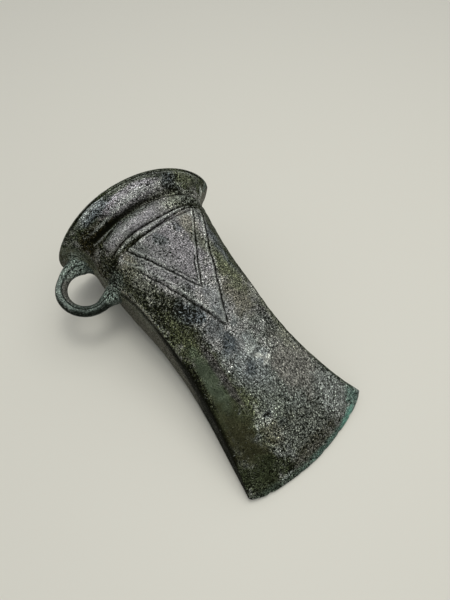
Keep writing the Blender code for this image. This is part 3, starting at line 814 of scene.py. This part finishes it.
# Strips along the front's corner edges: colour, strength, half widths where the strip starts and
# is full, its span along the blade, and what it adds
STRIPS = (
    # by the loop, at the neck: a painted highlight along the ridge of the edge, olive with pale
    # specks, then paler
    (OLIVE, 0.8, (-0.93, -0.98), (62, 70, 98, 106), 0.0, 0.6, 0.2),
    (OCHRE, 0.5, (-0.955, -0.985), (74, 80, 95, 99), -0.1, 0.2, -0.1),
    # painted shade along the same edge at the blade (two rows)
    (SOOT_AND_SHADE, 0.95, (-0.87, -0.92), (34, 42, 56, 64), 0.6, 0.3, 0.7),
    (BLACK, 0.9, (-0.94, -0.985), (8, 18, 56, 64), 0.0, -0.1, 0.2),
    # painted shade along the other edge
    (MOSS, 0.8, (0.94, 0.99), (2, 8, 98, 106), 0.1),
)
BARE = (0.44, 0.3, 1.0)  # dirt, dust and grit before any patch
WANDER = ((4.0, 1.0, 3), (1.6, 0.6, 4), (0.8, 0.5, 5))  # noise of ragged rims: size, share, seed
PATCH_FADE, PATCH_RAG, STRIP_RAG = (1.35, 0.5), 0.35, 0.012  # in half sizes, and half widths

# The plainer zones; the side by the loop gets painted shade, blacker below SIDE_SHADE, which is
# higher in front, olive above it in front, and a painted shadow in black along its front edge
SIDE_TONE, SIDE_SHADE_TONE, BACK_TONE = (0.047, 0.045, 0.03), (0.011, 0.012, 0.008), BLADE_GREY
LOOP_TONE, INSIDE_TONE, LIP_TONE = (0.034, 0.044, 0.036), BROWN, (0.11, 0.12, 0.098)
ZONE_TONES = (((LEFT, RIGHT), SIDE_TONE), ((BACK,), BACK_TONE),
              ((INSIDE,), INSIDE_TONE), ((LOOP,), LOOP_TONE))
ZONE_MORE = (-0.15, 0.0, -0.45)
FRONT_HALF = (-0.3, 0.5)  # heights, in half thicknesses of the side
SIDE_SHADE, SHADE_FADE, SHADE_RAG, SHADE_MORE = (46.0, 74.0), 9.0, 3.0, (0.1, -0.2, -0.2)
SIDE_OLIVE, OLIVE_SHARE, OLIVE_MORE = (72.0, 80.0), 0.6, (0.1, 0.5)
ARRIS, ARRIS_RAG, ARRIS_END = (0.42, 0.66), 0.06, (99.0, 94.0)
ARRIS_SHARE, ARRIS_MORE = 0.85, (0.1, -0.2)
LIP_FROM, LIP_SHARE, LIP_RAG = 118.5, 0.75, 0.25

# Bands of the loop's upper face, by the distance out from its bar's middle line: a painted
# highlight and a rosy tone towards the mouth, a dimmer painted highlight and a painted shadow in
# black towards the blade; then the crust at its roots
LOOP_HIGHLIGHT, ROOT_TONE = (0.15, 0.185, 0.16), (0.135, 0.175, 0.145)
LOOP_RAG, LOOP_UPPER = 0.25, 0.3
LOOP_SIDE_MIDDLES, LOOP_SIDE_FADE = (140.0, 231.0), (0.1, 0.8)  # degrees, cosines
SHINE_SHARE, SHINE_START, SHINE_END = 0.8, (-0.5, 0.1), (1.9, 1.2)
ROSE_SHARE, ROSE_START = 0.7, (-0.6, -0.9)
DIM_HIGHLIGHT_SHARE, DIM_HIGHLIGHT_BAND, DIM_HIGHLIGHT_MORE = 0.5, (-0.1, 0.7), (0.2, 0.1, 0.4)
SHADOW_SHARE, SHADOW_START, SHADOW_MORE = 0.7, (0.5, 1.6), 0.2
LOOP_ROOTS = (((-32.5, 117.5), 5.5), ((-25.5, 99.5), 4.5))  # place and half size
ROOT_SHARE, ROOT_FADE, ROOT_RAG, ROOT_MORE = 0.7, (1.1, 0.4), 0.3, (0.5, 0.7, 0.6)

# Blotches away from the front: colour, seed and level; then their size, fade and strength
BLOTCHES = ((OLIVE, 21, 0.1), (SEA, 22, 0.35), (BROWN, 23, 0.25))
BLOTCH_SIZE, BLOTCH_FADE, BLOTCH_SHARE = 9.0, 0.3, 0.7
# Black hollows, dark patina with painted shade, and pale crests, wear with painted highlight,
# by their depth from a smoothed surface
HOLLOW, HOLLOW_SHARE, HOLLOW_MORE = (0.03, 0.17), 0.95, (0.2, -0.3, -0.4)
CREST, CREST_SHARE, CREST_MORE = (0.03, 0.14), 0.4, (-0.15, 0.2)
CREST_SIDE, CREST_EDGE = (0.96, 0.9), (1.5, 4.0)  # no crests along the sides and the edge
SCRATCH_SPAN, SCRATCH_SIDE = (2.0, 10.0, 45.0, 66.0), (-20.0, -8.0)
MOST = 1.5  # of dirt, dust, grit and scratches


def patch_share(x, s, place, size, turn, wander):
    """1 inside an oval patch, fading to 0 over its ragged rim."""
    a = math.radians(turn)
    across, along = x - place[0], s - place[1]
    p = (across * math.cos(a) + along * math.sin(a)) / size[0]
    q = (along * math.cos(a) - across * math.sin(a)) / size[1]
    return smooth(*PATCH_FADE, np.hypot(p, q) + PATCH_RAG * wander)


class Coat:
    """Colour, dirt, dust and grit at each point, as covers are laid on."""

    def __init__(self, count):
        self.colour = np.tile(GREY, (count, 1))
        self.wear = [np.full(count, value) for value in BARE]

    def cover(self, shade, share, *more):
        self.colour = mix(self.colour, np.array(shade), share[:, None])
        pairs = itertools.zip_longest(self.wear, more, fillvalue=0.0)
        self.wear = [value + extra * share for value, extra in pairs]


def paint_front(coat, x, s, on_front, wander):
    for shade, strength, place, size, turn, *more in PATCHES:
        share = patch_share(x, s, place, size, turn, wander)
        coat.cover(shade, strength * on_front * share, *more)
    for shade, strength, (start, full), ends, *more in STRIPS:
        u = x / half_width(s) * np.sign(full)
        strip = smooth(abs(start), abs(full), u + STRIP_RAG * wander) * span(s, *ends)
        coat.cover(shade, strength * on_front * strip, *more)


def paint_sides(coat, points, facts, wander):
    x, s, zone = facts.T
    left = zone == LEFT
    for zones, shade in ZONE_TONES:
        coat.cover(shade, 1.0 * np.isin(zone, zones), *ZONE_MORE)
    height = points[:, 2] / side_half(s, x)
    front_half = smooth(*FRONT_HALF, height)
    low, high = SIDE_SHADE
    beyond = s - low - (high - low) * front_half + SHADE_RAG * wander
    # painted shade on the side by the loop
    coat.cover(SIDE_SHADE_TONE, left * smooth(SHADE_FADE, -SHADE_FADE, beyond), *SHADE_MORE)
    coat.cover(OLIVE, left * front_half * smooth(*SIDE_OLIVE, s) * OLIVE_SHARE, *OLIVE_MORE)
    # painted shadow in black under the face's front edge
    arris_shadow = smooth(*ARRIS, height + ARRIS_RAG * wander)
    coat.cover(BLACK, left * arris_shadow * smooth(*ARRIS_END, s) * ARRIS_SHARE, *ARRIS_MORE)
    on_lip = (zone == INSIDE) * (points[:, 1] > LIP_FROM)
    coat.cover(LIP_TONE, on_lip * (LIP_SHARE + LIP_RAG * wander))


def paint_loop(coat, points, zone, wander):
    spoke = points[:, :2] - LOOP_CENTRE
    angle = np.arctan2(spoke[:, 1], spoke[:, 0])
    out = np.hypot(*spoke.T) - LOOP_RADIUS + LOOP_RAG * wander
    upper = (zone == LOOP) * (points[:, 2] > LOOP_UPPER)
    mouthward, bladeward = (smooth(*LOOP_SIDE_FADE, np.cos(angle - math.radians(middle)))
                            for middle in LOOP_SIDE_MIDDLES)
    # towards the mouth a painted highlight and a rosy tone; towards the blade a dimmer painted
    # highlight and a painted shadow
    coat.cover(LOOP_HIGHLIGHT, SHINE_SHARE * upper * mouthward * smooth(*SHINE_START, out)
               * smooth(*SHINE_END, out))
    coat.cover(ROSE, ROSE_SHARE * upper * mouthward * smooth(*ROSE_START, out))
    coat.cover(LOOP_HIGHLIGHT, DIM_HIGHLIGHT_SHARE * upper * bladeward * bump(out, *DIM_HIGHLIGHT_BAND), *DIM_HIGHLIGHT_MORE)
    coat.cover(BLACK, SHADOW_SHARE * upper * bladeward * smooth(*SHADOW_START, out), SHADOW_MORE)
    by_loop = np.isin(zone, (LOOP, LEFT, FRONT))
    for place, half in LOOP_ROOTS:
        near = np.hypot(points[:, 0] - place[0], points[:, 1] - place[1]) / half
        crust = smooth(*ROOT_FADE, near + ROOT_RAG * wander)
        coat.cover(ROOT_TONE, ROOT_SHARE * by_loop * crust, *ROOT_MORE)


def paint(points, facts, hollow):
    """Colour, and shares of dark pits, pale specks, grain and scratches, at each point."""
    x, s, zone = facts.T
    on_front = zone == FRONT
    wander = sum(share * lumps(points, size, seed) for size, share, seed in WANDER)
    coat = Coat(len(points))
    paint_front(coat, x, s, on_front, wander)
    paint_sides(coat, points, facts, wander)
    paint_loop(coat, points, zone, wander)
    away = ~np.isin(zone, (FRONT, LEFT, LOOP))
    for shade, seed, low in BLOTCHES:
        share = smooth(low, low + BLOTCH_FADE, lumps(points, BLOTCH_SIZE, seed))
        coat.cover(shade, BLOTCH_SHARE * away * share)
    patina_and_shade = smooth(*HOLLOW, hollow) * (zone != INSIDE)
    inner = smooth(*CREST_SIDE, np.abs(x) / half_width(s)) * smooth(*CREST_EDGE, s)
    wear_and_highlight = smooth(*CREST, -hollow) * on_front * inner
    # painted shade over dark patina in the hollows; pale wear and painted highlight on the rises
    coat.cover(BLACK, HOLLOW_SHARE * patina_and_shade, *HOLLOW_MORE)
    coat.cover(PALE, CREST_SHARE * wear_and_highlight, *CREST_MORE)
    scratch = on_front * span(s, *SCRATCH_SPAN) * smooth(*SCRATCH_SIDE, x)
    return coat.colour, *(np.clip(value, 0.0, MOST) for value in (*coat.wear, scratch))


# ---- weathering ----

ROUGH = ((3.0, 0.05, 31), (1.3, 0.05, 32), (0.7, 0.04, 33))  # size, height and seed of the lumps
PITS = ((3.2, 1.1, 0.22, 41), (1.5, 0.55, 0.14, 42))  # spacing, radius, depth and seed
PIT_FIELDS, PIT_FIELD_LEVEL, PIT_FIELD_SEED = 8.0, (-0.3, 0.5), 5  # they come in groups
UNDULATION = (14.0, 0.12, 51)  # size, height and seed
CALM = 0.35  # share of all this away from the front
WORN_PLACE, WORN_SHARE = ((-17.5, 36), (4.5, 30), 0), 0.7  # a smoother patch of the front
HOLLOW_PASSES, FINE_PASSES, FINE_SHARE = 12, 5, 0.3  # smoothing that the hollows show against


def weather(points, normals, facts):
    """The points after corrosion: waves, lumps and pits along the normals."""
    x, s, zone = facts.T
    on_front = zone == FRONT
    calm = mix(CALM, 1.0, on_front) * (
        1.0 - WORN_SHARE * on_front * patch_share(x, s, *WORN_PLACE, 0.0))
    size, height, seed = UNDULATION
    lift = height * lumps(points, size, seed)
    for size, height, seed in ROUGH:
        lift += height * calm * lumps(points, size, seed)
    for spacing, radius, depth, seed in PITS:
        fields = smooth(*PIT_FIELD_LEVEL, lumps(points, PIT_FIELDS, seed + PIT_FIELD_SEED))
        lift -= depth * calm * craters(points, spacing, radius, seed) * fields
    return points + normals * lift[:, None]


def put_attribute(mesh, name, kind, field, values):
    layer = mesh.attributes.new(name, kind, 'POINT')
    layer.data.foreach_set(field, values.astype(np.float32).ravel())


def build_piece():
    mesh, facts, edges = casting()
    points = array_of(mesh.vertices, "co", 3)
    normals = array_of(mesh.vertex_normals, "vector", 3)
    worn = weather(points, normals, facts)
    hollow, fine = (np.einsum("ij,ij->i", relax(spots, edges, passes) - spots, normals)
                    for spots, passes in ((points, HOLLOW_PASSES), (worn, FINE_PASSES)))
    colour, *shares_of = paint(points, facts, hollow + FINE_SHARE * fine)
    set_points(mesh, lie_down(worn))
    colour = np.concatenate([colour, np.ones((len(colour), 1))], axis=1)
    put_attribute(mesh, "tone", 'FLOAT_COLOR', "color", colour)
    for name, values in zip(("dirt", "dust", "grit", "scratch"), shares_of):
        put_attribute(mesh, name, 'FLOAT', "value", values)
    mesh.shade_smooth()
    mesh.materials.clear()
    mesh.materials.append(bronze())
    piece = show("bronze_casting", mesh)
    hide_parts("axe_head")
    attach(piece, "root")


# ---- the bronze's material, over the painted tone ----

GRAIN, GRAIN_ROUGH, GRAIN_SWING = 0.38, 0.7, 13.0  # size; how far tones swing, as powers of e
SCRATCH, SCRATCH_DRAWN, SCRATCH_SWING = 0.45, 0.07, 6.5
MOTTLE, MOTTLE_SWING = 3.0, (-0.4, 0.22)
NOISE_SPAN = (0.3, 0.7)  # where nearly all of the noise lies
PIT, PIT_LEVELS, PIT_SOFT, PIT_SHARE = 0.75, (0.30, 0.56), 0.03, 0.97  # level at dirt 0 and 1
SPECK, SPECK_LEVELS, SPECK_SOFT, SPECK_SHARE = 0.55, (0.70, 0.53), (-0.01, 0.04), 0.75
ROUGHNESS, METALLIC = (0.58, 0.36), 0.1
SHEEN_TONES, SHEEN = (0.01, 0.2), 0.5  # darker tones shine less
BUMP_STRENGTH, BUMP_HEIGHT, BUMP_SPECK, BUMP_PIT = 0.7, 0.3, 0.15, 0.25


def bronze():
    material = bpy.data.materials.new("patinated_bronze")
    material.use_nodes = True
    tree = material.node_tree
    shader = tree.nodes["Principled BSDF"]

    def add(kind, inputs=(), **settings):
        node = tree.nodes.new("ShaderNode" + kind)
        for name, value in settings.items():
            setattr(node, name, value)
        for socket, value in dict(inputs).items():
            if isinstance(value, bpy.types.NodeSocket):
                tree.links.new(value, node.inputs[socket])
            else:
                node.inputs[socket].default_value = value
        return node

    def maths(operation, a, b):
        return add("Math", {0: a, 1: b}, operation=operation).outputs[0]

    def between(value, low, high, start=0.0, end=1.0):
        return add("MapRange", {"Value": value, "From Min": low, "From Max": high,
                                "To Min": start, "To Max": end}).outputs["Result"]

    def blend(share, first, second):
        # 6 and 7 are the colour inputs, 2 the colour output
        return add("Mix", {0: share, 6: first, 7: second}, data_type='RGBA').outputs[2]

    place = add("TexCoord").outputs["Object"]

    def noise(size, detail=3.0, rough=0.6, shift=0.0, along=1.0):
        """Noise; the shift tells it from the others, along draws it out."""
        moved = add("VectorMath", {0: place, 1: (1.0, along, 1.0), 2: (shift,) * 3},
                    operation='MULTIPLY_ADD').outputs[0]
        return add("TexNoise", {"Vector": moved, "Scale": 1.0 / (size * MM),
                                "Detail": detail, "Roughness": rough}).outputs["Fac"]

    def attribute(name, output="Fac"):
        return add("Attribute", attribute_name=name).outputs[output]

    def worn(name, start, end):
        return between(attribute(name), 0.0, 1.0, start, end)

    grain, mottle = noise(GRAIN, detail=2.0, rough=GRAIN_ROUGH), noise(MOTTLE, shift=0.2)
    swing = maths('MULTIPLY', maths('SUBTRACT', grain, 0.5), worn("grit", 0.0, GRAIN_SWING))
    scratches = noise(SCRATCH, detail=2.0, shift=0.9, along=SCRATCH_DRAWN)
    swing = maths('ADD', swing, maths('MULTIPLY', maths('SUBTRACT', scratches, 0.5),
                                      worn("scratch", 0.0, SCRATCH_SWING)))
    cloud = between(mottle, *NOISE_SPAN, *MOTTLE_SWING)
    gain = maths('POWER', math.e, maths('ADD', swing, cloud))
    tone = add("VectorMath", {0: attribute("tone", "Color"), "Scale": gain},
               operation='SCALE')
    pits = maths('SUBTRACT', noise(PIT, shift=0.7), worn("dirt", *PIT_LEVELS))
    dark = between(pits, PIT_SOFT, -PIT_SOFT)
    specks = maths('SUBTRACT', noise(SPECK, shift=0.5), worn("dust", *SPECK_LEVELS))
    pale = between(specks, *SPECK_SOFT, 0.0, SPECK_SHARE)
    colour = blend(pale, tone.outputs[0], (*PALE, 1.0))
    colour = blend(maths('MULTIPLY', dark, PIT_SHARE), colour, (*BLACK, 1.0))
    tree.links.new(colour, shader.inputs["Base Color"])
    tree.links.new(between(grain, *NOISE_SPAN, *ROUGHNESS), shader.inputs["Roughness"])
    brightness = add("RGBToBW", {0: colour}).outputs[0]
    tree.links.new(between(brightness, *SHEEN_TONES, 0.0, SHEEN),
                   shader.inputs["Specular IOR Level"])
    height = maths('SUBTRACT', maths('ADD', grain, maths('MULTIPLY', pale, BUMP_SPECK)),
                   maths('MULTIPLY', dark, BUMP_PIT))
    relief = add("Bump", {"Strength": BUMP_STRENGTH, "Distance": BUMP_HEIGHT * MM,
                          "Height": height})
    tree.links.new(relief.outputs["Normal"], shader.inputs["Normal"])
    shader.inputs["Metallic"].default_value = METALLIC
    return material


build_piece()

# ---- floor, light and camera: metres, degrees and linear colours ----

FLOOR_HALF, FLOOR_TONE, FLOOR_ROUGHNESS = 0.6, (0.62, 0.61, 0.54, 1.0), 0.6
LIGHTS = (  # name, place, size, power, colour
    ("key", (0.02, 0.0, 0.5), 0.16, 0.5, (1.0, 0.985, 0.95)),
    ("ceiling", (0.22, -0.08, 0.9), 1.0, 4.0, (1.0, 0.99, 0.96)),
)
WORLD_TONE, WORLD_STRENGTH = (0.97, 0.98, 1.0, 1.0), 0.5
LENS, SENSOR, CLIP_START = 25.98, 36.0, 0.01  # the first two in millimetres
EYE, EYE_TURN = (-0.0546197, -0.0668990, 0.1721038), (32.740368, -2.271960, -40.514111)


def stage():
    h = FLOOR_HALF
    mesh = bpy.data.meshes.new("floor")
    mesh.from_pydata([(-h, -h, 0), (h, -h, 0), (h, h, 0), (-h, h, 0)], [], [(0, 1, 2, 3)])
    floor = show("floor", mesh)
    material = bpy.data.materials.new("floor")
    material.use_nodes = True
    inputs = material.node_tree.nodes["Principled BSDF"].inputs
    inputs["Base Color"].default_value = FLOOR_TONE
    inputs["Roughness"].default_value = FLOOR_ROUGHNESS
    mesh.materials.append(material)


def light(name, place, size, power, colour):
    """A round lamp aimed at the origin."""
    data = bpy.data.lights.new(name, 'AREA')
    data.shape, data.size = 'DISK', size
    data.energy, data.color = power, colour
    lamp = show(name, data)
    lamp.location = place
    lamp.rotation_euler = (-Vector(place)).to_track_quat('-Z', 'Y').to_euler()


def sky():
    bpy.context.scene.world = world = bpy.data.worlds.new("studio")
    world.use_nodes = True
    inputs = world.node_tree.nodes["Background"].inputs
    inputs["Color"].default_value = WORLD_TONE
    inputs["Strength"].default_value = WORLD_STRENGTH


def camera():
    data = bpy.data.cameras.new("camera")
    data.lens, data.sensor_width = LENS, SENSOR
    data.clip_start = CLIP_START
    bpy.context.scene.camera = eye = show("camera", data)
    eye.location = EYE
    eye.rotation_euler = [math.radians(turn) for turn in EYE_TURN]


stage()
for lamp in LIGHTS:
    light(*lamp)
sky()
camera()
bpy.context.scene.view_settings.view_transform = 'Standard'
